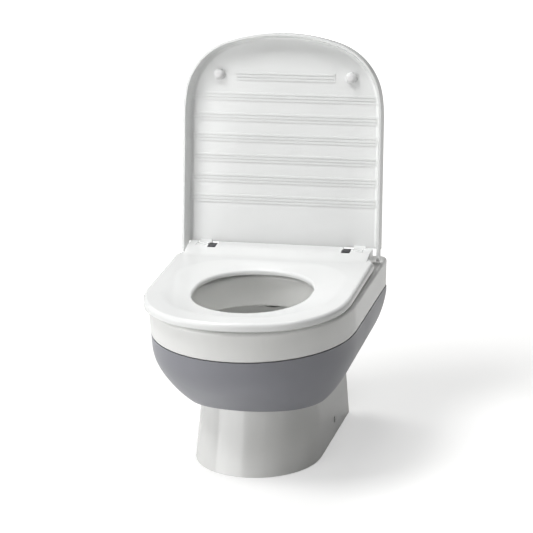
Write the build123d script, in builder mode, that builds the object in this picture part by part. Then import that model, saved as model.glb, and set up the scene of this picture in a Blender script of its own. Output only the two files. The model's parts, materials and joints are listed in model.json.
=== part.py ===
# Floor-standing china toilet pan with a grey shell, a seat and an open lid
# Front is towards -Y, +Z is up, the origin is on the floor between the two foot fixings
import os
from math import cos, radians, sin, sqrt

from build123d import *

os.makedirs("parts", exist_ok=True)

# Rim band of the pan
rim_height = 305.0
rim_half = 192.0
rim_rear_spread = 3.0
rim_front = -303.0
rim_rear = 154.0
rim_mid = -103.0
rim_corner = 16.0
rim_edge_round = 6.0
band_height = 55.0
band_low_round = 2.0
band_draft = 3.0
china_wall = 12.0
deck_thickness = 14.0

# Bowl
bowl_side_border = 64.0
bowl_reach = 132.0
bowl_centre = -126.0
bowl_depth = 257.0
bowl_edge_round = 5.0
lip_depth = 59.0
lip_wall = 8.0
lip_round = 3.0
channel_width = 10.0
bowl_level_shares = (0.0, 0.232, 0.485, 0.763, 1.0)
bowl_half_shares = (1.0, 0.74, 0.48, 0.288, 0.178)
bowl_reach_shares = (1.0, 0.733, 0.427, 0.32, 0.173)
bowl_shift_shares = (0.0, 0.083, 0.19, 0.258, 0.318)

# Trapway and outlet
trap_bore = 56.0
trap_wall = 12.0
trap_bend = 42.0
trap_floor = 74.0
trap_start = -80.0
trap_dip = -32.0
trap_rise = 22.0
outlet_diameter = 102.0
outlet_bore = 84.0
outlet_start = 146.0
outlet_end = 190.0
outlet_shoulder = 6.0

# Flush horn
horn_level = 262.0
horn_diameter = 72.0
horn_bore = 55.0
horn_end = 162.0
seal_bore = 44.0
seal_length = 26.0
seal_lip = 3.0
seal_lip_width = 4.0

# Foot
foot_half = 118.0
foot_rear_half = 121.0
foot_front = -229.0
foot_rear = 114.0
foot_mid = -105.0
foot_taper_height = 105.0
foot_side_taper = 8.0
foot_rear_taper = 4.5
foot_front_taper = 34.0
foot_corner = 4.0

# Grey shell under the band
shell_gap = 1.5
shell_bottom = 100.0
shell_rear = 149.0
shell_wall = 4.0
shell_floor_half = 115.0
shell_floor_rear_half = 124.0
shell_floor_front = -196.0
shell_floor_mid = -81.0
shell_corner = 4.0
shell_level_shares = (0.0, 0.16, 0.36, 0.56, 0.73, 0.87, 1.0)
shell_side_shares = (0.0, 0.014, 0.1, 0.3, 0.52, 0.75, 1.0)
shell_rear_shares = (0.0, 0.044, 0.176, 0.38, 0.6, 0.79, 1.0)
shell_front_shares = (0.0, 0.03, 0.144, 0.385, 0.644, 0.846, 1.0)
shell_mid_shares = (0.0, 0.0, 0.045, 0.14, 0.32, 0.6, 1.0)
collar_gap = 1.0
collar_front_rise = 26.0
tongue_wall = 3.0
tongue_gap = 1.0
tongue_rise = 14.0
tongue_drop = 8.0
tongue_front = -120.0
flange_thickness = 4.0

# Shell screws and plugs
shell_screw_diameter = 4.0
shell_screw_head = 8.0
shell_screw_head_height = 2.6
shell_screw_y = 128.0
shell_screw_rise = 6.0
plug_diameter = 7.0
plug_length = 8.0

# Bowed end shared by all the outlines: turns from the side line in degrees, side radius to half width
bow_side_turn = 10.0
bow_corner_turn = 72.0
bow_side_share = 1.32

# Half width of seat and lid
cover_half = 190.0

# Hinge line
hinge_y = 88.0
hinge_height = 328.0
open_lean = 11.5

# Seat
seat_gap = 7.0
seat_thickness = 15.0
seat_front = -315.0
seat_mid = -138.0
seat_side_end = 46.0
seat_neck_start = 78.0
seat_neck_step = 14.0
seat_edge_round = 7.0
seat_low_round = 3.0
seat_hump = 7.5
hump_start = 40.0
barrel_radius = 17.5
seat_ring = 82.0
hole_reach = 114.0
hole_centre = -122.0
hole_corner = 98.0
hole_edge = 7.0
hole_edge_round = 5.0
funnel_round = 50.0
funnel_side_border = 30.0
funnel_border = 36.0
funnel_rear = 22.0
funnel_corner = 90.0
seat_wall = 8.0
seat_cavity = 5.0
seat_cavity_rear = 20.0
heel_recess = 4.0
heel_start = 56.0
notch_reach = 13.5
notch_play = 1.0
arm_notch_play = 1.5
pocket_reach = 34.0
pocket_rise = 2.4
pocket_fall = 2.4

# Seat buffers
seat_buffer_diameter = 18.0
seat_buffer_stem = 8.0
seat_buffer_stem_length = 5.0
seat_buffer_pad = 26.0
seat_buffer_side_inset = 34.0
seat_buffer_side_y = -20.0
seat_buffer_front_x = 92.0
seat_buffer_front_y = -256.0
rest_gap = 0.2

# Lid, drawn in its own plane with x across, y up along it and z out of its inner face
lid_length = 407.7
lid_mid = 255.0
lid_depth = 32.0
lid_panel = 5.0
lid_lip = 4.0
lid_lip_slope = 6.0
lid_low_edge = 9.5
lid_tail = 14.0
lid_tail_rise = 10.0
lid_tail_step = 12.0
lid_edge_round = 4.0
lid_inner_round = 6.0
lid_axis_rise = 1.4

# Ribs on the inner face of the lid
rib_inset = 12.0
rib_buffer_step = 31.3
rib_width = 3.4
rib_pitch = 5.8
rib_height = 1.5
rib_group_pitch = 38.7
rib_first = 93.3
rib_group_count = 6
rib_group_size = 3

# Buffers on the inner face of the lid
lid_buffer_inset = 63.2
lid_buffer_rise = 327.0
lid_buffer_diameter = 21.0
lid_buffer_height = 12.0
lid_buffer_round = 8.0
lid_buffer_stem = 8.0
lid_buffer_stem_length = 3.5

# Hinge hardware
block_inset = 68.0
block_width = 15.0
block_reach = 9.0
block_rise = 6.5
block_edge = 1.0
plate_thickness = 3.0
plate_reach = 13.0
plate_end = 13.0
plate_corner = 4.0
pad_thickness = 1.5
bolt_step = 44.5
bolt_diameter = 6.0
bolt_head = 12.0
bolt_length = 38.0
deck_hole = 14.0
sleeve_flange = 24.0
sleeve_flange_height = 2.0
washer_diameter = 26.0
washer_thickness = 1.6
thread_play = 0.1
nut_hub = 14.0
nut_height = 8.0
nut_wing_span = 34.0
nut_wing_thickness = 3.0
nut_wing_height = 12.0
nut_wing_step = 2.0
pin_diameter = 6.0
pin_end_gap = 0.5
pin_play = 0.05
bush_wall = 1.5
seat_bush_length = 20.0
lid_bush_length = 19.0
arm_width = 22.0
arm_radius = 7.0
arm_gap = 1.0
arm_heel = 3.0
arm_heel_rise = 7.5
arm_gusset = 4.0
arm_gusset_rise = 7.0

# Foot fixings
fixing_height = 28.7
fixing_hole = 12.0
foot_bush_inset = 6.0
foot_bush_play = 0.1
foot_screw_diameter = 5.0
foot_screw_head = 10.0
foot_screw_head_height = 3.0
bracket_gap = 0.5
bracket_wall = 5.0
bracket_width = 40.0
bracket_height = 46.0
bracket_foot = 38.0
bracket_boss = 14.0
bracket_boss_length = 14.0
floor_hole = 8.0
floor_hole_inset = 25.0

# Cuts run this far past the faces that they open
overrun = 2.0

# Levels and places worked out from the sizes
rim_rear_half = rim_half + rim_rear_spread
bowl_half = rim_half - bowl_side_border
seat_neck_half = cover_half - seat_neck_step
funnel_half = cover_half - funnel_side_border
seat_buffer_side_x = cover_half - seat_buffer_side_inset
rib_half = cover_half - rib_inset
hole_half = cover_half - seat_ring
lid_buffer_x = cover_half - lid_buffer_inset
rib_short_half = lid_buffer_x - rib_buffer_step
block_inner_x = cover_half - block_inset
bolt_x = block_inner_x - bolt_step
band_bottom = rim_height - band_height
deck_under = rim_height - deck_thickness
band_low_half = rim_half - band_draft
band_low_rear_half = rim_rear_half - band_draft
band_low_front = rim_front + band_draft
trap_outer = trap_bore / 2 + trap_wall
trap_top = trap_floor + trap_bend + trap_rise
outlet_level = trap_floor + trap_rise
lip_level = rim_height - lip_depth
channel_half = bowl_half + lip_wall + channel_width
channel_reach = bowl_reach + lip_wall + channel_width
crest_y = trap_dip + 2 * trap_bend
shell_top = band_bottom - shell_gap
shell_inset = shell_wall * 0.8
tongue_inset = china_wall + tongue_gap
tongue_rear = rim_rear - china_wall - tongue_gap
tongue_low = band_bottom - tongue_drop
collar_slope = collar_front_rise / (foot_rear - foot_front)
collar_rear_level = shell_bottom - collar_slope * (shell_rear + overrun - foot_rear)
collar_front = rim_front - overrun
collar_front_level = shell_bottom + collar_slope * (foot_rear - collar_front)
seat_bottom = rim_height + seat_gap
seat_top = seat_bottom + seat_thickness
hump_top = seat_top + seat_hump
hole_low = seat_top - hole_edge - rest_gap
hole_high = seat_top - hole_edge + rest_gap
funnel_low = seat_top - rest_gap
funnel_high = seat_top + rest_gap
hole_front = hole_centre - hole_reach
hole_rear = hole_centre + hole_reach
notch_inner_x = block_inner_x - notch_play
block_outer_x = block_inner_x + block_width
block_x = block_inner_x + block_width / 2
arm_inner_x = block_outer_x + arm_gap
arm_outer_x = arm_inner_x + arm_width
notch_middle_x = arm_inner_x - arm_gap / 2
notch_outer_x = arm_outer_x + notch_play
arm_notch_reach = arm_radius + arm_notch_play
bush_radius = pin_diameter / 2 + bush_wall
plate_bottom = rim_height + pad_thickness
plate_top = plate_bottom + plate_thickness
plate_inner_x = bolt_x - plate_end
plate_x = (plate_inner_x + block_outer_x) / 2
screw_level = band_bottom + shell_screw_rise
side_spread = band_low_rear_half - band_low_half
side_share = (shell_screw_y - rim_mid) / (rim_rear - rim_corner - rim_mid)
band_x = band_low_half + side_spread * side_share + band_draft * shell_screw_rise / band_height
band_inner_x = band_x - china_wall
tongue_share = (shell_screw_y - rim_mid) / (tongue_rear - shell_corner - rim_mid)
tongue_x = band_low_half + side_spread * tongue_share - tongue_inset
lean = radians(open_lean)
lid_origin_y = hinge_y + lid_depth * cos(lean) - lid_axis_rise * sin(lean)
lid_origin_z = hinge_height - lid_depth * sin(lean) - lid_axis_rise * cos(lean)
lid_plane = Plane(
    origin=(0, lid_origin_y, lid_origin_z),
    x_dir=(1, 0, 0),
    z_dir=(0, -cos(lean), sin(lean)),
)
lid_side_plane = Plane(origin=lid_plane.origin, x_dir=lid_plane.y_dir, z_dir=(1, 0, 0))


def bow(half, mid, tip):
    """Curved end of an outline: flat side arcs, corner arcs and one front arc, all tangent."""
    way = 1 if tip > mid else -1
    side = half * bow_side_share
    a, b = radians(bow_side_turn), radians(bow_corner_turn)
    across = half - side * (1 - cos(a))
    along = abs(tip - mid) - side * sin(a)
    fall = cos(a) - cos(b)
    climb = sin(b) - sin(a)
    front = (across * climb - along * fall) / (cos(b) * climb - (1 - sin(b)) * fall)
    corner = (across - front * cos(b)) / fall
    first = (half - side * (1 - cos(a)), mid + way * side * sin(a))
    last = (front * cos(b), tip - way * front * (1 - sin(b)))
    centre = (first[0] - corner * cos(a), first[1] - way * corner * sin(a))
    c = (a + b) / 2
    for x in (1, -1):
        ThreePointArc(
            (x * half, mid),
            (x * (half - side * (1 - cos(a / 2))), mid + way * side * sin(a / 2)),
            (x * first[0], first[1]),
        )
        ThreePointArc(
            (x * first[0], first[1]),
            (x * (centre[0] + corner * cos(c)), centre[1] + way * corner * sin(c)),
            (x * last[0], last[1]),
        )
    ThreePointArc(last, (0, tip), (-last[0], last[1]))


def body_outline(level, half, rear_half, mid, front, rear, corner):
    """Flat section with a bowed front, straight sides and rounded rear corners."""
    cut = corner * (1 - sqrt(2) / 2)
    with BuildSketch(Plane.XY.offset(level)) as section:
        with BuildLine():
            bow(half, mid, front)
            for side in (1, -1):
                Line((side * half, mid), (side * rear_half, rear - corner))
                ThreePointArc(
                    (side * rear_half, rear - corner),
                    (side * (rear_half - cut), rear - cut),
                    (side * (rear_half - corner), rear),
                )
            Line((rear_half - corner, rear), (corner - rear_half, rear))
        make_face()
    return section.sketch


def band_outline(level, inset, rear, corner):
    """Section of the rim band, drawn in from its outside by the inset."""
    grow = band_draft * (level - band_bottom) / band_height
    return body_outline(
        level,
        band_low_half + grow - inset,
        band_low_rear_half + grow - inset,
        rim_mid,
        band_low_front - grow + inset,
        rear,
        corner,
    )


def foot_outline(level, grow, rear):
    """Section of the foot, which narrows upwards, drawn out from its outside."""
    rise = level / foot_taper_height
    half = foot_half - foot_side_taper * rise
    front = foot_front + foot_front_taper * rise
    return body_outline(
        level,
        half + grow,
        foot_rear_half - foot_rear_taper * rise + grow,
        front + (foot_mid - foot_front) * half / foot_half,
        front - grow,
        rear,
        foot_corner,
    )


def bowl_section(index, grow):
    """Oval section of the bowl below its lip at one of its levels, drawn out by the wall."""
    share = bowl_level_shares[index]
    level = lip_level - (bowl_depth - lip_depth + grow) * share
    with BuildSketch(Plane.XY.offset(level)) as section:
        with Locations((0, bowl_centre + bowl_reach * bowl_shift_shares[index])):
            Ellipse(
                channel_half * bowl_half_shares[index] + grow,
                channel_reach * bowl_reach_shares[index] + grow,
            )
    return section.sketch


def shell_section(index, inset, lift, rear):
    """Section of the grey shell at one of its levels, drawn in and lifted by the wall."""
    front = band_low_front + shell_front_shares[index] * (shell_floor_front - band_low_front)
    return body_outline(
        shell_top - (shell_top - shell_bottom) * shell_level_shares[index] + lift,
        band_low_half + shell_side_shares[index] * (shell_floor_half - band_low_half) - inset,
        band_low_rear_half + shell_rear_shares[index] * (shell_floor_rear_half - band_low_rear_half) - inset,
        rim_mid + shell_mid_shares[index] * (shell_floor_mid - rim_mid),
        front + inset,
        rear,
        shell_corner,
    )


def below_collar(rise):
    """Block under the shell's sloping lower edge, raised by the given height."""
    with BuildPart() as block:
        with BuildSketch(Plane.YZ):
            with BuildLine():
                Polyline(
                    (shell_rear + overrun, -overrun),
                    (shell_rear + overrun, collar_rear_level + rise),
                    (collar_front, collar_front_level + rise),
                    (collar_front, -overrun),
                    close=True,
                )
            make_face()
        extrude(amount=rim_half, both=True)
    return block.part


def tongue_outline(level, inset, rear):
    """Upright section of the tongue that reaches up behind the rim band."""
    return body_outline(
        level,
        band_low_half - inset,
        band_low_rear_half - inset,
        rim_mid,
        band_low_front + inset,
        rear,
        shell_corner,
    )


def hole_outline(level, half, front, rear, corner):
    """Section of the seat's hole or funnel."""
    return body_outline(level, half, half, hole_centre, front, rear, corner)


def lid_outline(height, inset, low):
    """Outline of the lid parallel to its panel, drawn in by the inset, down to its low end."""
    half = cover_half - inset
    with BuildSketch(lid_plane.offset(height)) as section:
        with BuildLine():
            bow(half, lid_mid, lid_length - inset)
            Polyline((half, lid_mid), (half, low), (-half, low), (-half, lid_mid))
        make_face()
    return section.sketch


def trap_route():
    """Centre line of the trapway from the sump over the crest to the outlet."""
    slant = trap_bend * sqrt(2) / 2
    rise_y = trap_dip + trap_bend
    fall_y = crest_y + trap_bend
    turn_y = fall_y + trap_bend
    with BuildLine(Plane.YZ) as route:
        Line((trap_start, trap_floor), (trap_dip, trap_floor))
        ThreePointArc(
            (trap_dip, trap_floor),
            (trap_dip + slant, trap_floor + trap_bend - slant),
            (rise_y, trap_floor + trap_bend),
        )
        Line((rise_y, trap_floor + trap_bend), (rise_y, trap_top))
        ThreePointArc((rise_y, trap_top), (crest_y, trap_top + trap_bend), (fall_y, trap_top))
        ThreePointArc(
            (fall_y, trap_top),
            (turn_y - slant, trap_top - slant),
            (turn_y, outlet_level),
        )
        Line((turn_y, outlet_level), (outlet_end, outlet_level))
    return route.line


# Solids that shape the pan
with BuildPart() as foot_hollow:
    loft([foot_outline(z, -china_wall, foot_rear + overrun) for z in (-overrun, deck_under)], ruled=True)

with BuildPart() as band_hollow:
    inner_rear = rim_rear - china_wall
    inner_corner = rim_corner - china_wall
    loft(
        [band_outline(z, china_wall, inner_rear, inner_corner) for z in (band_bottom - overrun, deck_under)],
        ruled=True,
    )

with BuildPart() as bowl_body:
    loft([bowl_section(i, china_wall) for i in range(len(bowl_level_shares))])
    extrude(bowl_section(0, china_wall), amount=deck_under + overrun - lip_level)

with BuildPart() as bowl_hollow:
    loft([bowl_section(i, 0) for i in range(len(bowl_level_shares))])
    extrude(bowl_section(0, 0), amount=deck_under - lip_level)
    with BuildSketch(Plane.XY.offset(lip_level)):
        with Locations((0, bowl_centre)):
            Ellipse(bowl_half, bowl_reach)
    extrude(amount=lip_depth + overrun)

with BuildPart() as bowl_lip:
    with BuildSketch(Plane.XY.offset(lip_level)):
        with Locations((0, bowl_centre)):
            Ellipse(bowl_half + lip_wall, bowl_reach + lip_wall)
            Ellipse(bowl_half, bowl_reach, mode=Mode.SUBTRACT)
    extrude(amount=deck_under + overrun - lip_level)
    fillet(bowl_lip.edges().group_by(Axis.Z)[0], lip_round)

with BuildPart() as trap_tube:
    with BuildSketch(Plane(origin=(0, trap_start, trap_floor), x_dir=(1, 0, 0), z_dir=(0, 1, 0))):
        Circle(trap_outer)
    sweep(path=trap_route())

with BuildPart() as trap_passage:
    with BuildSketch(Plane(origin=(0, trap_start, trap_floor), x_dir=(1, 0, 0), z_dir=(0, 1, 0))):
        Circle(trap_bore / 2)
    sweep(path=trap_route())

outlet_plane = Plane(origin=(0, outlet_end, outlet_level), x_dir=(1, 0, 0), z_dir=(0, 1, 0))
horn_plane = Plane(origin=(0, horn_end, horn_level), x_dir=(1, 0, 0), z_dir=(0, 1, 0))
horn_length = horn_end - bowl_centre - channel_reach

# Rim band with its deck
with BuildPart() as band:
    loft([band_outline(z, 0, rim_rear, rim_corner) for z in (band_bottom, rim_height)], ruled=True)
    fillet(band.edges().group_by(Axis.Z)[-1], rim_edge_round)
    fillet(band.edges().group_by(Axis.Z)[0], band_low_round)
    add(band_hollow.part, mode=Mode.SUBTRACT)

# Pan, one china casting
with BuildPart() as pan:
    loft([foot_outline(z, 0, foot_rear) for z in (0, deck_under)], ruled=True)
    add(foot_hollow.part, mode=Mode.SUBTRACT)
    add(band.part)
    add(bowl_body.part)
    add(trap_tube.part)
    with BuildSketch(outlet_plane):
        Circle(outlet_diameter / 2)
    extrude(amount=outlet_start - outlet_end)
    with BuildSketch(horn_plane):
        Circle(horn_diameter / 2)
    extrude(amount=-horn_length)
    add(bowl_hollow.part, mode=Mode.SUBTRACT)
    add(trap_passage.part, mode=Mode.SUBTRACT)
    with BuildSketch(outlet_plane):
        Circle(outlet_bore / 2)
    extrude(amount=outlet_start + outlet_shoulder - outlet_end, mode=Mode.SUBTRACT)
    with BuildSketch(horn_plane):
        Circle(horn_bore / 2)
    extrude(amount=-horn_length - overrun, mode=Mode.SUBTRACT)
    add(bowl_lip.part)
    fillet(pan.edges().group_by(Axis.Z)[-1].sort_by(SortBy.LENGTH)[-1], bowl_edge_round)
    with Locations((bolt_x, hinge_y, rim_height), (-bolt_x, hinge_y, rim_height)):
        Hole(deck_hole / 2, depth=deck_thickness + overrun)
    with BuildSketch(Plane.YZ):
        with Locations((0, fixing_height)):
            Circle(fixing_hole / 2)
    extrude(amount=foot_rear_half + overrun, both=True, mode=Mode.SUBTRACT)
    for side in (1, -1):
        with BuildSketch(Plane.YZ.offset(side * (band_inner_x - overrun))):
            with Locations((shell_screw_y, screw_level)):
                Circle(plug_diameter / 2)
        extrude(amount=side * (plug_length + overrun), mode=Mode.SUBTRACT)

# Grey shell: a thin bowl with a sloping floor round the foot and a tongue behind the rim band
levels = range(len(shell_level_shares))
with BuildPart() as shell_hollow:
    loft([shell_section(i, shell_inset, shell_wall, shell_rear + overrun) for i in levels])
    add(below_collar(shell_wall), mode=Mode.SUBTRACT)

with BuildPart() as foot_room:
    loft([foot_outline(z, collar_gap, shell_rear + overrun) for z in (0, rim_height)], ruled=True)

with BuildPart() as tongue:
    extrude(tongue_outline(tongue_low, tongue_inset, tongue_rear), amount=tongue_drop + tongue_rise)
    extrude(tongue_outline(tongue_low, shell_wall / 2, tongue_rear), amount=flange_thickness)
    extrude(
        tongue_outline(tongue_low, tongue_inset + tongue_wall, tongue_rear + overrun),
        amount=tongue_drop + tongue_rise,
        mode=Mode.SUBTRACT,
    )
    with Locations((0, tongue_front, tongue_low)):
        Box(
            2 * rim_rear_half,
            2 * rim_rear_half,
            2 * (tongue_drop + tongue_rise + overrun),
            align=(Align.CENTER, Align.MAX, Align.CENTER),
            mode=Mode.SUBTRACT,
        )

with BuildPart() as bowl_shell:
    loft([shell_section(i, 0, 0, shell_rear) for i in levels])
    add(shell_hollow.part, mode=Mode.SUBTRACT)
    add(foot_room.part, mode=Mode.SUBTRACT)
    add(below_collar(0), mode=Mode.SUBTRACT)
    add(tongue.part)
    with BuildSketch(Plane.YZ):
        with Locations((shell_screw_y, screw_level)):
            Circle(shell_screw_diameter / 2 + thread_play)
    extrude(amount=rim_half, both=True, mode=Mode.SUBTRACT)

with BuildPart() as shell_plugs:
    for side in (1, -1):
        with BuildSketch(Plane.YZ.offset(side * (tongue_x + rest_gap))):
            with Locations((shell_screw_y, screw_level)):
                Circle(plug_diameter / 2)
                Circle(shell_screw_diameter / 2, mode=Mode.SUBTRACT)
        extrude(amount=side * (band_inner_x + plug_length - tongue_x - rest_gap))

with BuildPart() as shell_screws:
    for side in (1, -1):
        with BuildSketch(Plane.YZ.offset(side * (tongue_x - tongue_wall - rest_gap))):
            with Locations((shell_screw_y, screw_level)):
                Circle(shell_screw_head / 2)
        extrude(amount=-side * shell_screw_head_height)
        with BuildSketch(Plane.YZ.offset(side * (tongue_x - tongue_wall - rest_gap))):
            with Locations((shell_screw_y, screw_level)):
                Circle(shell_screw_diameter / 2)
        extrude(amount=side * (band_inner_x + plug_length - tongue_x + tongue_wall))

# Seat: a ring with a sloping funnel round its hole and a raised barrel at the hinge
seat_buffer_places = [
    (seat_buffer_side_x, seat_buffer_side_y),
    (-seat_buffer_side_x, seat_buffer_side_y),
    (seat_buffer_front_x, seat_buffer_front_y),
    (-seat_buffer_front_x, seat_buffer_front_y),
]

with BuildPart() as seat_funnel:
    loft(
        [
            hole_outline(seat_top, funnel_half, seat_front + funnel_border, funnel_rear, funnel_corner),
            hole_outline(seat_top - hole_edge, hole_half, hole_front, hole_rear, hole_corner),
        ],
        ruled=True,
    )
    extrude(
        hole_outline(seat_top - hole_edge, hole_half, hole_front, hole_rear, hole_corner),
        amount=hole_edge - seat_thickness - overrun,
    )
    fillet(seat_funnel.edges().filter_by_position(Axis.Z, hole_low, hole_high), hole_edge_round)
    with Locations((0, hole_centre, seat_top)):
        Box(
            4 * cover_half,
            4 * cover_half,
            seat_thickness,
            align=(Align.CENTER, Align.CENTER, Align.MIN),
        )
    top_edges = seat_funnel.edges().filter_by_position(Axis.Z, funnel_low, funnel_high)
    fillet(top_edges.filter_by(lambda edge: edge.length < 2 * cover_half), funnel_round)

with BuildPart() as seat:
    with BuildSketch(Plane.XY.offset(seat_bottom)):
        with BuildLine():
            bow(cover_half, seat_mid, seat_front)
            Polyline(
                (cover_half, seat_mid),
                (cover_half, seat_side_end),
                (seat_neck_half, seat_neck_start),
                (seat_neck_half, hinge_y + barrel_radius),
                (-seat_neck_half, hinge_y + barrel_radius),
                (-seat_neck_half, seat_neck_start),
                (-cover_half, seat_side_end),
                (-cover_half, seat_mid),
            )
        make_face()
    extrude(amount=seat_thickness)
    fillet(seat.edges().group_by(Axis.Z)[-1], seat_edge_round)
    fillet(seat.edges().group_by(Axis.Z)[0], seat_low_round)
    add(seat_funnel.part, mode=Mode.SUBTRACT)
    with BuildSketch(Plane.YZ):
        with BuildLine():
            Spline((hump_start, seat_top), (hinge_y, hump_top), tangents=((1, 0), (1, 0)))
            Polyline(
                (hinge_y, hump_top),
                (hinge_y + barrel_radius, hump_top),
                (hinge_y + barrel_radius, seat_bottom),
                (hump_start, seat_bottom),
                (hump_start, seat_top),
            )
        make_face()
    extrude(amount=seat_neck_half, both=True)
    with BuildSketch(Plane.YZ):
        with Locations((hinge_y + barrel_radius, hinge_height)):
            Rectangle(2 * barrel_radius, 4 * barrel_radius)
        with Locations((hinge_y, hinge_height)):
            Circle(barrel_radius, mode=Mode.SUBTRACT)
    extrude(amount=cover_half, both=True, mode=Mode.SUBTRACT)
    with BuildSketch(Plane.YZ):
        with BuildLine():
            Polyline(
                (heel_start, seat_bottom - overrun),
                (heel_start, seat_bottom + heel_recess),
                (hinge_y + barrel_radius + overrun, seat_bottom + heel_recess),
                (hinge_y + barrel_radius + overrun, seat_bottom - overrun),
                close=True,
            )
        make_face()
    extrude(amount=cover_half + overrun, both=True, mode=Mode.SUBTRACT)
    for side in (1, -1):
        with Locations((side * (notch_inner_x + notch_middle_x) / 2, hinge_y + barrel_radius, hinge_height)):
            Box(
                notch_middle_x - notch_inner_x,
                2 * (notch_reach + barrel_radius),
                4 * barrel_radius,
                mode=Mode.SUBTRACT,
            )
        with Locations((side * (notch_middle_x + notch_outer_x) / 2, hinge_y + barrel_radius, hinge_height)):
            Box(
                notch_outer_x - notch_middle_x,
                2 * (arm_notch_reach + barrel_radius),
                4 * barrel_radius,
                mode=Mode.SUBTRACT,
            )
        with BuildSketch(Plane.YZ.offset(side * notch_middle_x)):
            with BuildLine():
                Polyline(
                    (hinge_y, hinge_height + pocket_rise),
                    (hinge_y - arm_notch_reach, hinge_height + pocket_rise),
                    (hinge_y - pocket_reach, hinge_height - pocket_fall),
                    (hinge_y - pocket_reach, seat_bottom - overrun),
                    (hinge_y, seat_bottom - overrun),
                    close=True,
                )
            make_face()
        extrude(amount=side * (notch_outer_x - notch_middle_x), mode=Mode.SUBTRACT)
        with BuildSketch(Plane.YZ.offset(side * notch_inner_x)):
            with Locations((hinge_y, hinge_height)):
                Circle(bush_radius)
        extrude(amount=-side * seat_bush_length, mode=Mode.SUBTRACT)

with BuildPart() as seat_hollow:
    with BuildSketch(Plane.XY.offset(seat_bottom)):
        with BuildLine():
            bow(cover_half - seat_wall, seat_mid, seat_front + seat_wall)
            Polyline(
                (cover_half - seat_wall, seat_mid),
                (cover_half - seat_wall, seat_cavity_rear),
                (seat_wall - cover_half, seat_cavity_rear),
                (seat_wall - cover_half, seat_mid),
            )
        make_face()
    extrude(amount=seat_cavity)
    extrude(
        hole_outline(
            seat_bottom,
            hole_half + seat_wall,
            hole_front - seat_wall,
            hole_rear + seat_wall,
            hole_corner + seat_wall,
        ),
        amount=seat_cavity,
        mode=Mode.SUBTRACT,
    )
    with Locations([(x, y, seat_bottom) for x, y in seat_buffer_places]):
        Cylinder(
            seat_buffer_pad / 2,
            seat_cavity,
            align=(Align.CENTER, Align.CENTER, Align.MIN),
            mode=Mode.SUBTRACT,
        )

with BuildPart() as seat_whole:
    add(seat.part)
    add(seat_hollow.part, mode=Mode.SUBTRACT)
    with Locations([(x, y, seat_bottom) for x, y in seat_buffer_places]):
        Cylinder(
            seat_buffer_stem / 2,
            seat_buffer_stem_length,
            align=(Align.CENTER, Align.CENTER, Align.MIN),
            mode=Mode.SUBTRACT,
        )

with BuildPart() as seat_buffers:
    with Locations([(x, y, rim_height + rest_gap) for x, y in seat_buffer_places]):
        Cylinder(
            seat_buffer_diameter / 2,
            seat_gap - rest_gap,
            align=(Align.CENTER, Align.CENTER, Align.MIN),
        )
    with Locations([(x, y, seat_bottom) for x, y in seat_buffer_places]):
        Cylinder(
            seat_buffer_stem / 2,
            seat_buffer_stem_length,
            align=(Align.CENTER, Align.CENTER, Align.MIN),
        )

# Lid: a moulded tray with ribs on its inner face and two hinge arms
lip_draft = lid_lip_slope / (lid_depth - lid_panel)
lid_buffer_places = [(lid_buffer_x, lid_buffer_rise), (-lid_buffer_x, lid_buffer_rise)]
rib_rows = [
    (rib_first + rib_group_pitch * group + rib_pitch * (row - (rib_group_size - 1) / 2), group)
    for group in range(rib_group_count + 1)
    for row in range(rib_group_size)
]

with BuildPart() as lid_hollow:
    loft(
        [
            lid_outline(lid_panel, lid_lip + lid_lip_slope, -lid_tail - overrun),
            lid_outline(lid_depth + overrun, lid_lip - lip_draft * overrun, -lid_tail - overrun),
        ],
        ruled=True,
    )
    fillet(lid_hollow.faces().sort_by(Axis(lid_plane.origin, lid_plane.z_dir))[0].edges(), lid_inner_round)

with BuildPart() as lid:
    extrude(lid_outline(0, 0, -lid_tail), amount=lid_depth)
    fillet(lid.faces().sort_by(Axis(lid_plane.origin, lid_plane.z_dir))[0].edges(), lid_edge_round)
    add(lid_hollow.part, mode=Mode.SUBTRACT)
    with BuildSketch(lid_side_plane):
        with BuildLine():
            Polyline(
                (-lid_tail - overrun, -overrun),
                (lid_low_edge, -overrun),
                (lid_low_edge, lid_tail_step),
                (-lid_tail, lid_tail_step),
                (lid_tail_rise - lid_tail, lid_depth + overrun),
                (-lid_tail - overrun, lid_depth + overrun),
                close=True,
            )
        make_face()
    extrude(amount=cover_half + overrun, both=True, mode=Mode.SUBTRACT)
    with BuildSketch(lid_plane.offset(lid_panel / 2)):
        for rise, group in rib_rows:
            with Locations((0, rise)):
                Rectangle(2 * (rib_short_half if group == rib_group_count else rib_half), rib_width)
    extrude(amount=lid_panel / 2 + rib_height)
    for side in (1, -1):
        with BuildSketch(lid_side_plane.offset(side * arm_inner_x)):
            with BuildLine():
                Polyline(
                    (lid_axis_rise - arm_radius, lid_depth),
                    (lid_axis_rise - arm_heel, lid_depth - arm_heel_rise),
                    (lid_axis_rise - arm_heel, 0),
                    (lid_low_edge, 0),
                    (lid_low_edge + arm_gusset, lid_panel / 2),
                    (lid_low_edge + arm_gusset, lid_panel),
                    (lid_axis_rise + arm_radius, lid_panel + arm_gusset_rise),
                    (lid_axis_rise + arm_radius, lid_depth),
                    close=True,
                )
            make_face()
            with Locations((lid_axis_rise, lid_depth)):
                Circle(arm_radius)
        extrude(amount=side * arm_width)
        with BuildSketch(lid_side_plane.offset(side * arm_inner_x)):
            with Locations((lid_axis_rise, lid_depth)):
                Circle(bush_radius)
        extrude(amount=side * lid_bush_length, mode=Mode.SUBTRACT)
    with BuildSketch(lid_plane.offset(lid_panel)):
        with Locations(lid_buffer_places):
            Circle(lid_buffer_stem / 2)
    extrude(amount=-lid_buffer_stem_length, mode=Mode.SUBTRACT)

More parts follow.
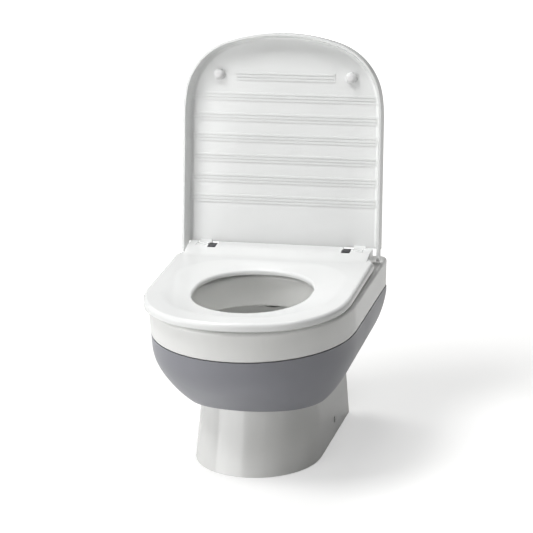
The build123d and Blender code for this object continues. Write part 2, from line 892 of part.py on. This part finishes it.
with BuildPart() as lid_buffers:
    with BuildSketch(lid_plane.offset(lid_panel)):
        with Locations(lid_buffer_places):
            Circle(lid_buffer_diameter / 2)
    extrude(amount=lid_buffer_height)
    for face in lid_buffers.faces().sort_by(Axis(lid_plane.origin, lid_plane.z_dir))[-2:]:
        fillet(face.edges(), lid_buffer_round)
    with BuildSketch(lid_plane.offset(lid_panel)):
        with Locations(lid_buffer_places):
            Circle(lid_buffer_stem / 2)
    extrude(amount=-lid_buffer_stem_length)

# Hinge: bracket, pin, bushes, pad and deck fixing on each side
with BuildPart() as hinge_bracket_right:
    with Locations((plate_x, hinge_y, plate_bottom)):
        Box(
            block_outer_x - plate_inner_x,
            2 * plate_reach,
            plate_thickness,
            align=(Align.CENTER, Align.CENTER, Align.MIN),
        )
    fillet(hinge_bracket_right.edges().filter_by(Axis.Z), plate_corner)
    with Locations((block_x, hinge_y, plate_top)):
        Box(
            block_width,
            2 * block_reach,
            hinge_height + block_rise - plate_top,
            align=(Align.CENTER, Align.CENTER, Align.MIN),
        )
    fillet(hinge_bracket_right.edges().group_by(Axis.Z)[-1], block_edge)
    with BuildSketch(Plane.YZ.offset(block_inner_x - overrun)):
        with Locations((hinge_y, hinge_height)):
            Circle(pin_diameter / 2)
    extrude(amount=block_width + 2 * overrun, mode=Mode.SUBTRACT)
    with Locations((bolt_x, hinge_y, plate_top)):
        Cylinder(
            bolt_diameter / 2 + thread_play,
            4 * plate_thickness,
            mode=Mode.SUBTRACT,
        )
        Cone(
            bolt_diameter / 2,
            bolt_head / 2,
            plate_thickness,
            align=(Align.CENTER, Align.CENTER, Align.MAX),
            mode=Mode.SUBTRACT,
        )

with BuildPart() as hinge_bracket_left:
    mirror(hinge_bracket_right.part, about=Plane.YZ)


def hinge_round(radius, bore, inner, length, side):
    """Round hinge piece on the hinge line, bored through when a bore is given."""
    with BuildPart() as piece:
        with BuildSketch(Plane.YZ.offset(side * inner)):
            with Locations((hinge_y, hinge_height)):
                Circle(radius)
                if bore:
                    Circle(bore, mode=Mode.SUBTRACT)
        extrude(amount=side * length)
    return piece


pin_inner_x = notch_inner_x - seat_bush_length + pin_end_gap
pin_length = arm_inner_x + lid_bush_length - pin_end_gap - pin_inner_x
bush_bore = pin_diameter / 2 + pin_play
seat_bush_x = notch_inner_x - seat_bush_length

hinge_pin_right = hinge_round(pin_diameter / 2, 0, pin_inner_x, pin_length, 1)
hinge_pin_left = hinge_round(pin_diameter / 2, 0, pin_inner_x, pin_length, -1)
seat_bush_right = hinge_round(bush_radius, bush_bore, seat_bush_x, seat_bush_length, 1)
seat_bush_left = hinge_round(bush_radius, bush_bore, seat_bush_x, seat_bush_length, -1)
lid_bush_right = hinge_round(bush_radius, bush_bore, arm_inner_x, lid_bush_length, 1)
lid_bush_left = hinge_round(bush_radius, bush_bore, arm_inner_x, lid_bush_length, -1)

bolt_places = [(bolt_x, hinge_y), (-bolt_x, hinge_y)]
washer_top = deck_under - sleeve_flange_height
nut_top = washer_top - washer_thickness
bolt_hole = bolt_diameter / 2 + thread_play

with BuildPart() as hinge_pads:
    with BuildSketch(Plane.XY.offset(rim_height)):
        with Locations((plate_x, hinge_y), (-plate_x, hinge_y)):
            Rectangle(block_outer_x - plate_inner_x, 2 * plate_reach)
        with Locations(bolt_places):
            Circle(bolt_hole, mode=Mode.SUBTRACT)
    extrude(amount=pad_thickness)

with BuildPart() as hinge_bolts:
    with BuildSketch(Plane.XY.offset(plate_top)):
        with Locations(bolt_places):
            Circle(bolt_diameter / 2)
    extrude(amount=-bolt_length)
    with Locations([(x, y, plate_top) for x, y in bolt_places]):
        Cone(
            bolt_diameter / 2,
            bolt_head / 2,
            plate_thickness,
            align=(Align.CENTER, Align.CENTER, Align.MAX),
        )

with BuildPart() as hinge_sleeves:
    with BuildSketch(Plane.XY.offset(rim_height)):
        with Locations(bolt_places):
            Circle(deck_hole / 2)
    extrude(amount=-deck_thickness)
    with BuildSketch(Plane.XY.offset(deck_under)):
        with Locations(bolt_places):
            Circle(sleeve_flange / 2)
    extrude(amount=-sleeve_flange_height)
    with BuildSketch(Plane.XY.offset(washer_top)):
        with Locations(bolt_places):
            Circle(bolt_hole)
    extrude(amount=deck_thickness + sleeve_flange_height, mode=Mode.SUBTRACT)

with BuildPart() as hinge_washers:
    with BuildSketch(Plane.XY.offset(washer_top)):
        with Locations(bolt_places):
            Circle(washer_diameter / 2)
            Circle(bolt_hole, mode=Mode.SUBTRACT)
    extrude(amount=-washer_thickness)

with BuildPart() as hinge_nuts:
    with BuildSketch(Plane.XY.offset(nut_top)):
        with Locations(bolt_places):
            Circle(nut_hub / 2)
    extrude(amount=-nut_height)
    with BuildSketch(Plane.XY.offset(nut_top - nut_wing_step)):
        with Locations(bolt_places):
            Rectangle(nut_wing_thickness, nut_wing_span)
    extrude(amount=-nut_wing_height)
    with BuildSketch(Plane.XY.offset(nut_top)):
        with Locations(bolt_places):
            Circle(bolt_hole)
    extrude(amount=-nut_wing_height - nut_wing_step, mode=Mode.SUBTRACT)

# Foot fixings: angle bracket, bush and screw on each side
bracket_face_x = foot_half - china_wall - foot_rear_taper * bracket_height / foot_taper_height - bracket_gap
foot_bush_end = foot_half - foot_bush_inset

with BuildPart() as floor_bracket_right:
    with BuildSketch(Plane.XZ):
        with BuildLine():
            Polyline(
                (bracket_face_x, 0),
                (bracket_face_x, bracket_height),
                (bracket_face_x - bracket_wall, bracket_height),
                (bracket_face_x - bracket_wall, bracket_wall),
                (bracket_face_x - bracket_foot, bracket_wall),
                (bracket_face_x - bracket_foot, 0),
                close=True,
            )
        make_face()
    extrude(amount=bracket_width / 2, both=True)
    with BuildSketch(Plane.YZ.offset(bracket_face_x - bracket_wall)):
        with Locations((0, fixing_height)):
            Circle(bracket_boss / 2)
    extrude(amount=-bracket_boss_length)
    with BuildSketch(Plane.YZ.offset(bracket_face_x + overrun)):
        with Locations((0, fixing_height)):
            Circle(foot_screw_diameter / 2)
    extrude(amount=-bracket_boss_length - bracket_wall - 2 * overrun, mode=Mode.SUBTRACT)
    with Locations((bracket_face_x - floor_hole_inset, 0, bracket_wall)):
        Hole(floor_hole / 2)

with BuildPart() as floor_bracket_left:
    mirror(floor_bracket_right.part, about=Plane.YZ)

with BuildPart() as foot_bushes:
    for side in (1, -1):
        with BuildSketch(Plane.YZ.offset(side * bracket_face_x)):
            with Locations((0, fixing_height)):
                Circle(fixing_hole / 2 - foot_bush_play)
                Circle(foot_screw_diameter / 2 + thread_play, mode=Mode.SUBTRACT)
        extrude(amount=side * (foot_bush_end - bracket_face_x))

with BuildPart() as foot_screws:
    for side in (1, -1):
        with BuildSketch(Plane.YZ.offset(side * foot_bush_end)):
            with Locations((0, fixing_height)):
                Circle(foot_screw_head / 2)
        extrude(amount=side * foot_screw_head_height)
        with BuildSketch(Plane.YZ.offset(side * foot_bush_end)):
            with Locations((0, fixing_height)):
                Circle(foot_screw_diameter / 2)
        extrude(amount=side * (bracket_face_x - bracket_wall - bracket_boss_length - foot_bush_end))

# Rubber seal in the flush horn
with BuildPart() as flush_seal:
    with BuildSketch(horn_plane):
        Circle(horn_bore / 2)
    extrude(amount=-seal_length)
    with BuildSketch(horn_plane):
        Circle(horn_bore / 2 + seal_lip_width)
    extrude(amount=seal_lip)
    with BuildSketch(horn_plane.offset(seal_lip)):
        Circle(seal_bore / 2)
    extrude(amount=-seal_length - seal_lip, mode=Mode.SUBTRACT)

pieces = {
    "pan": pan,
    "bowl_shell": bowl_shell,
    "shell_plugs": shell_plugs,
    "shell_screws": shell_screws,
    "seat": seat_whole,
    "seat_buffers": seat_buffers,
    "seat_bush_left": seat_bush_left,
    "seat_bush_right": seat_bush_right,
    "lid": lid,
    "lid_buffers": lid_buffers,
    "lid_bush_left": lid_bush_left,
    "lid_bush_right": lid_bush_right,
    "hinge_bracket_left": hinge_bracket_left,
    "hinge_bracket_right": hinge_bracket_right,
    "hinge_pin_left": hinge_pin_left,
    "hinge_pin_right": hinge_pin_right,
    "hinge_pads": hinge_pads,
    "hinge_bolts": hinge_bolts,
    "hinge_sleeves": hinge_sleeves,
    "hinge_washers": hinge_washers,
    "hinge_nuts": hinge_nuts,
    "floor_bracket_left": floor_bracket_left,
    "floor_bracket_right": floor_bracket_right,
    "foot_bushes": foot_bushes,
    "foot_screws": foot_screws,
    "flush_seal": flush_seal,
}

for name, piece in pieces.items():
    piece.part.label = name
    export_step(piece.part, f"parts/{name}.step")
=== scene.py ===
import bpy
import json
from math import cos, radians, sin
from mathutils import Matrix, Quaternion, Vector

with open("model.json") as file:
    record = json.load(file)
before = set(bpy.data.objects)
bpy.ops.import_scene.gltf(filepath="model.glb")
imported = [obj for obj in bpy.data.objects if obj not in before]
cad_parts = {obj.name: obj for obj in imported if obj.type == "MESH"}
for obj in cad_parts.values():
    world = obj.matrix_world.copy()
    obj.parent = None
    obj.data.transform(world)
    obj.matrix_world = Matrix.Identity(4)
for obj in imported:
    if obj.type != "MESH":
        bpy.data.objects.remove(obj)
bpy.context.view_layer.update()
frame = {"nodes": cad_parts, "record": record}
nodes = frame["nodes"]
scene = bpy.context.scene
scene.view_settings.view_transform = "Standard"


def bearing(azimuth, elevation):
    """Direction out from the toilet; azimuth 0 is the front and turns towards +X."""
    turn, rise = radians(azimuth), radians(elevation)
    return Vector((sin(turn) * cos(rise), -cos(turn) * cos(rise), sin(rise)))


# Camera at the photograph's viewing angle
camera_azimuth = 14.638
camera_elevation = 18.845
camera_roll = -2.107
camera_distance = 4.9241
camera_target = Vector((-0.0285, 0.0979, 0.2912))
camera_lens = 176.07
camera_sensor = 36
camera_reach = 100


def make_camera():
    back = bearing(camera_azimuth, camera_elevation)
    data = bpy.data.cameras.new("camera")
    data.lens = camera_lens
    data.sensor_width = camera_sensor
    data.clip_end = camera_reach
    camera = bpy.data.objects.new("camera", data)
    scene.collection.objects.link(camera)
    camera.location = camera_target + back * camera_distance
    camera.rotation_mode = "QUATERNION"
    level = (-back).to_track_quat("-Z", "Y")
    camera.rotation_quaternion = level @ Quaternion((0, 0, 1), radians(camera_roll))
    scene.camera = camera


# Studio lamps: azimuth and elevation in degrees, distance and size in metres, power in watts
lamps = {
    "key_softbox": (-58, 62, 3.4, (1.3, 1.3), 68),
    "side_softbox": (-43, 6, 3.4, (3.2, 1.8), 58),
    "back_softbox": (-160, 64, 3.4, (1.6, 1.2), 42),
    "fill_softbox": (55, 62, 3.4, (1.3, 1.3), 21),
}
lamp_target = Vector((0, -0.05, 0.35))


def make_lamp(name, azimuth, elevation, distance, size, power):
    data = bpy.data.lights.new(name, "AREA")
    data.shape = "RECTANGLE"
    data.size, data.size_y = size
    data.energy = power
    lamp = bpy.data.objects.new(name, data)
    scene.collection.objects.link(lamp)
    lamp.location = lamp_target + bearing(azimuth, elevation) * distance
    lamp.rotation_mode = "QUATERNION"
    lamp.rotation_quaternion = (lamp_target - lamp.location).to_track_quat("-Z", "Y")


# Shader trees
pure_white = (1, 1, 1, 1)


def new_tree(owner):
    owner.use_nodes = True
    owner.node_tree.nodes.clear()
    return owner.node_tree


def put(tree, kind, values=(), **settings):
    """Adds a node with its settings and input values."""
    node = tree.nodes.new(kind)
    for key, value in settings.items():
        setattr(node, key, value)
    for key, value in dict(values).items():
        node.inputs[key].default_value = value
    return node


def seen_directly(tree, mirror_share):
    """1 for the camera's own rays, a share for reflections, 0 for the light that falls on things."""
    path = put(tree, "ShaderNodeLightPath")
    mirrored = put(tree, "ShaderNodeMath", {1: mirror_share}, operation="MULTIPLY")
    direct = put(tree, "ShaderNodeMath", operation="ADD", use_clamp=True)
    either = put(tree, "ShaderNodeMath", operation="ADD", use_clamp=True)
    tree.links.new(path.outputs["Is Glossy Ray"], mirrored.inputs[0])
    tree.links.new(path.outputs["Is Camera Ray"], direct.inputs[0])
    tree.links.new(mirrored.outputs[0], direct.inputs[1])
    tree.links.new(direct.outputs[0], either.inputs[0])
    tree.links.new(path.outputs["Is Transmission Ray"], either.inputs[1])
    return either.outputs[0]


# World: white for the camera, a part of that in reflections, and a very dim room as light
room_color = (1.0, 1.0, 0.98, 1)
room_strength = 0.04
room_mirror_share = 0.22


def make_world():
    world = bpy.data.worlds.new("studio")
    scene.world = world
    tree = new_tree(world)
    link = tree.links.new
    room = put(tree, "ShaderNodeBackground", {"Color": room_color, "Strength": room_strength})
    white = put(tree, "ShaderNodeBackground", {"Color": pure_white, "Strength": 1})
    mix = put(tree, "ShaderNodeMixShader")
    out = put(tree, "ShaderNodeOutputWorld")
    link(seen_directly(tree, room_mirror_share), mix.inputs[0])
    link(room.outputs[0], mix.inputs[1])
    link(white.outputs[0], mix.inputs[2])
    link(mix.outputs[0], out.inputs["Surface"])


# Floor: plain and pale, lifted for the camera, less near the toilet so that its shadow stays
floor_half = 12.0
floor_color = (0.78, 0.78, 0.77, 1)
near_lift, far_lift = 0.43, 1.0
near_radius, far_radius = 0.7, 3.0
floor_mirror_share = 0.5


def make_floor():
    bpy.ops.object.select_all(action="DESELECT")
    bpy.ops.mesh.primitive_plane_add(size=2 * floor_half, location=(0, 0, 0))
    floor = bpy.context.object
    floor.name = "floor"
    material = bpy.data.materials.new("floor_paper")
    tree = new_tree(material)
    link = tree.links.new
    place = put(tree, "ShaderNodeTexCoord")
    radius = put(tree, "ShaderNodeVectorMath", operation="LENGTH")
    lift_range = {"From Min": near_radius, "From Max": far_radius, "To Min": near_lift, "To Max": far_lift}
    lift = put(tree, "ShaderNodeMapRange", lift_range)
    seen = put(tree, "ShaderNodeMath", operation="MULTIPLY")
    paper = put(tree, "ShaderNodeBsdfDiffuse", {"Color": floor_color})
    glow = put(tree, "ShaderNodeEmission", {"Color": pure_white})
    both = put(tree, "ShaderNodeAddShader")
    out = put(tree, "ShaderNodeOutputMaterial")
    link(place.outputs["Object"], radius.inputs[0])
    link(radius.outputs["Value"], lift.inputs["Value"])
    link(seen_directly(tree, floor_mirror_share), seen.inputs[0])
    link(lift.outputs[0], seen.inputs[1])
    link(seen.outputs[0], glow.inputs["Strength"])
    link(paper.outputs[0], both.inputs[0])
    link(glow.outputs[0], both.inputs[1])
    link(both.outputs[0], out.inputs["Surface"])
    floor.data.materials.append(material)


# Shared shader groups
drift_detail, drift_roughness = 3.0, 0.55
drift_low, drift_high = 0.35, 0.75
speck_radius = 0.12
ripple_detail, ripple_roughness = 1.0, 0.4
grain_detail, grain_roughness = 2.0, 0.6
patch_scale, patch_detail, patch_roughness = 6.0, 4.0, 0.6
patch_low, patch_high = 0.3, 0.7


def make_group(name, inputs, outputs):
    group = bpy.data.node_groups.new(name, "ShaderNodeTree")
    for socket, kind, value in inputs:
        made = group.interface.new_socket(socket, in_out="INPUT", socket_type=kind)
        if value is not None:
            made.default_value = value
    for socket, kind in outputs:
        group.interface.new_socket(socket, in_out="OUTPUT", socket_type=kind)
    return group, group.nodes.new("NodeGroupInput"), group.nodes.new("NodeGroupOutput")


def make_tone_group():
    """Slow drift of a colour over the surface, with fine specks."""
    group, given, result = make_group(
        "tone_drift",
        [
            ("Vector", "NodeSocketVector", None),
            ("Color", "NodeSocketColor", (0.9, 0.9, 0.9, 1)),
            ("Dark", "NodeSocketColor", (0.8, 0.8, 0.8, 1)),
            ("Scale", "NodeSocketFloat", 4.0),
            ("Speck Scale", "NodeSocketFloat", 300.0),
            ("Speck Amount", "NodeSocketFloat", 0.1),
        ],
        [("Color", "NodeSocketColor")],
    )
    link = group.links.new
    drift = put(group, "ShaderNodeTexNoise", {"Detail": drift_detail, "Roughness": drift_roughness})
    specks = put(group, "ShaderNodeTexVoronoi", {"Randomness": 1.0})
    speck_range = {"From Min": 0.0, "From Max": speck_radius, "To Min": 1.0, "To Max": 0.0}
    small = put(group, "ShaderNodeMapRange", speck_range)
    amount = put(group, "ShaderNodeMath", operation="MULTIPLY")
    mask = put(group, "ShaderNodeMath", operation="ADD", use_clamp=True)
    share = put(group, "ShaderNodeMapRange", {"From Min": drift_low, "From Max": drift_high})
    mix = put(group, "ShaderNodeMix", data_type="RGBA")
    link(given.outputs["Vector"], drift.inputs["Vector"])
    link(given.outputs["Scale"], drift.inputs["Scale"])
    link(given.outputs["Vector"], specks.inputs["Vector"])
    link(given.outputs["Speck Scale"], specks.inputs["Scale"])
    link(specks.outputs["Distance"], small.inputs["Value"])
    link(small.outputs[0], amount.inputs[0])
    link(given.outputs["Speck Amount"], amount.inputs[1])
    link(drift.outputs[0], share.inputs["Value"])
    link(share.outputs[0], mask.inputs[0])
    link(amount.outputs[0], mask.inputs[1])
    link(mask.outputs[0], mix.inputs["Factor"])
    link(given.outputs["Color"], mix.inputs["A"])
    link(given.outputs["Dark"], mix.inputs["B"])
    link(mix.outputs["Result"], result.inputs["Color"])
    return group


def make_skin_group():
    """Height and roughness of a moulded or glazed skin: long ripples and a fine grain."""
    group, given, result = make_group(
        "surface_skin",
        [
            ("Vector", "NodeSocketVector", None),
            ("Ripple Scale", "NodeSocketFloat", 9.0),
            ("Ripple Amount", "NodeSocketFloat", 1.0),
            ("Grain Scale", "NodeSocketFloat", 900.0),
            ("Grain Amount", "NodeSocketFloat", 0.05),
            ("Smooth", "NodeSocketFloat", 0.1),
            ("Rough", "NodeSocketFloat", 0.2),
        ],
        [("Height", "NodeSocketFloat"), ("Roughness", "NodeSocketFloat")],
    )
    link = group.links.new
    ripple = put(group, "ShaderNodeTexNoise", {"Detail": ripple_detail, "Roughness": ripple_roughness})
    grain = put(group, "ShaderNodeTexNoise", {"Detail": grain_detail, "Roughness": grain_roughness})
    ripple_share = put(group, "ShaderNodeMath", operation="MULTIPLY")
    grain_share = put(group, "ShaderNodeMath", operation="MULTIPLY")
    total = put(group, "ShaderNodeMath", operation="ADD")
    patch_values = {"Scale": patch_scale, "Detail": patch_detail, "Roughness": patch_roughness}
    patches = put(group, "ShaderNodeTexNoise", patch_values)
    rough = put(group, "ShaderNodeMapRange", {"From Min": patch_low, "From Max": patch_high})
    for noise, scale in ((ripple, "Ripple Scale"), (grain, "Grain Scale")):
        link(given.outputs["Vector"], noise.inputs["Vector"])
        link(given.outputs[scale], noise.inputs["Scale"])
    link(given.outputs["Vector"], patches.inputs["Vector"])
    link(ripple.outputs[0], ripple_share.inputs[0])
    link(given.outputs["Ripple Amount"], ripple_share.inputs[1])
    link(grain.outputs[0], grain_share.inputs[0])
    link(given.outputs["Grain Amount"], grain_share.inputs[1])
    link(ripple_share.outputs[0], total.inputs[0])
    link(grain_share.outputs[0], total.inputs[1])
    link(patches.outputs[0], rough.inputs["Value"])
    link(given.outputs["Smooth"], rough.inputs["To Min"])
    link(given.outputs["Rough"], rough.inputs["To Max"])
    link(total.outputs[0], result.inputs["Height"])
    link(rough.outputs[0], result.inputs["Roughness"])
    return group


tone_group = make_tone_group()
skin_group = make_skin_group()


def surface(name, color, dark, tone=(), skin=(), bump=0.05, bump_depth=0.001, **shader):
    """A finish made of the two shared groups and its own shader values."""
    material = bpy.data.materials.new(name)
    tree = new_tree(material)
    link = tree.links.new
    place = put(tree, "ShaderNodeTexCoord")
    drift = put(tree, "ShaderNodeGroup", node_tree=tone_group)
    drift.inputs["Color"].default_value = (*color, 1)
    drift.inputs["Dark"].default_value = (*dark, 1)
    for key, value in dict(tone).items():
        drift.inputs[key].default_value = value
    finish = put(tree, "ShaderNodeGroup", node_tree=skin_group)
    for key, value in dict(skin).items():
        finish.inputs[key].default_value = value
    relief = put(tree, "ShaderNodeBump", {"Strength": bump, "Distance": bump_depth})
    body = put(tree, "ShaderNodeBsdfPrincipled")
    for key, value in shader.items():
        body.inputs[key.replace("_", " ")].default_value = value
    out = put(tree, "ShaderNodeOutputMaterial")
    link(place.outputs["Object"], drift.inputs["Vector"])
    link(place.outputs["Object"], finish.inputs["Vector"])
    link(drift.outputs["Color"], body.inputs["Base Color"])
    link(finish.outputs["Roughness"], body.inputs["Roughness"])
    link(finish.outputs["Height"], relief.inputs["Height"])
    link(relief.outputs[0], body.inputs["Normal"])
    link(body.outputs[0], out.inputs["Surface"])
    return material


# Finishes of the pieces
glazed_china = surface(
    "glazed_china",
    (0.865, 0.868, 0.855),
    (0.83, 0.83, 0.81),
    tone={"Scale": 3.0, "Speck Scale": 120.0, "Speck Amount": 0.25},
    skin={"Ripple Scale": 7.0, "Grain Scale": 260.0, "Grain Amount": 0.02, "Smooth": 0.13, "Rough": 0.2},
    bump=0.25,
    bump_depth=0.0012,
    Coat_Weight=0.12,
    Coat_Roughness=0.04,
    IOR=1.46,
)
seat_plastic = surface(
    "white_moulded_plastic",
    (0.87, 0.878, 0.872),
    (0.84, 0.848, 0.842),
    tone={"Scale": 5.0, "Speck Amount": 0.05},
    skin={"Ripple Scale": 12.0, "Grain Scale": 700.0, "Grain Amount": 0.015, "Smooth": 0.07, "Rough": 0.12},
    bump=0.12,
    bump_depth=0.0008,
    IOR=1.49,
)
grey_plastic = surface(
    "blue_grey_shell",
    (0.278, 0.281, 0.310),
    (0.243, 0.246, 0.274),
    tone={"Scale": 5.0, "Speck Scale": 500.0, "Speck Amount": 0.2},
    skin={"Ripple Scale": 10.0, "Grain Scale": 1200.0, "Grain Amount": 0.12, "Smooth": 0.3, "Rough": 0.42},
    bump=0.12,
    bump_depth=0.0008,
    IOR=1.46,
)
polished_steel = surface(
    "polished_steel",
    (0.66, 0.67, 0.68),
    (0.55, 0.56, 0.57),
    tone={"Scale": 30.0, "Speck Amount": 0.1},
    skin={"Ripple Scale": 40.0, "Grain Scale": 1500.0, "Smooth": 0.12, "Rough": 0.24},
    Metallic=1.0,
)
brushed_steel = surface(
    "brushed_steel",
    (0.55, 0.55, 0.56),
    (0.42, 0.42, 0.43),
    tone={"Scale": 20.0, "Speck Amount": 0.2},
    skin={"Ripple Scale": 60.0, "Grain Scale": 1800.0, "Grain Amount": 0.3, "Smooth": 0.28, "Rough": 0.42},
    Metallic=1.0,
)
# Painted shade: this finish is near-black so that the parts seen through the seat's hinge notches look as
# dark as the shade in those notches.
dark_steel = surface(
    "dark_steel",
    (0.10, 0.10, 0.105),
    (0.05, 0.05, 0.055),
    tone={"Scale": 30.0, "Speck Amount": 0.2},
    skin={"Ripple Scale": 40.0, "Grain Scale": 1500.0, "Smooth": 0.3, "Rough": 0.45},
    Metallic=1.0,
)
nylon = surface(
    "natural_nylon",
    (0.78, 0.77, 0.72),
    (0.70, 0.69, 0.64),
    tone={"Scale": 14.0},
    skin={"Grain Scale": 1200.0, "Grain Amount": 0.2, "Smooth": 0.35, "Rough": 0.5},
)
white_rubber = surface(
    "white_rubber",
    (0.80, 0.80, 0.80),
    (0.72, 0.72, 0.72),
    tone={"Scale": 20.0, "Speck Amount": 0.2},
    skin={"Grain Scale": 1400.0, "Grain Amount": 0.3, "Smooth": 0.3, "Rough": 0.45},
)
black_rubber = surface(
    "black_rubber",
    (0.03, 0.03, 0.03),
    (0.05, 0.05, 0.05),
    tone={"Scale": 25.0, "Speck Amount": 0.3},
    skin={"Grain Scale": 1400.0, "Grain Amount": 0.4, "Smooth": 0.5, "Rough": 0.7},
)

finishes = {
    "china": glazed_china,
    "white_plastic": seat_plastic,
    "grey_shell": grey_plastic,
    "polished_steel": polished_steel,
    "stainless": brushed_steel,
    "dark_steel": dark_steel,
    "nylon": nylon,
    "white_rubber": white_rubber,
    "black_rubber": black_rubber,
}


def dress_nodes():
    """Gives every CAD node the finish of its slot in the record."""
    for row in frame["record"]["subparts"]:
        data = nodes[row["node"]].data
        data.materials.clear()
        data.materials.append(finishes[row["material_slot"]])


make_camera()
make_world()
make_floor()
for lamp_name, lamp_setting in lamps.items():
    make_lamp(lamp_name, *lamp_setting)
dress_nodes()
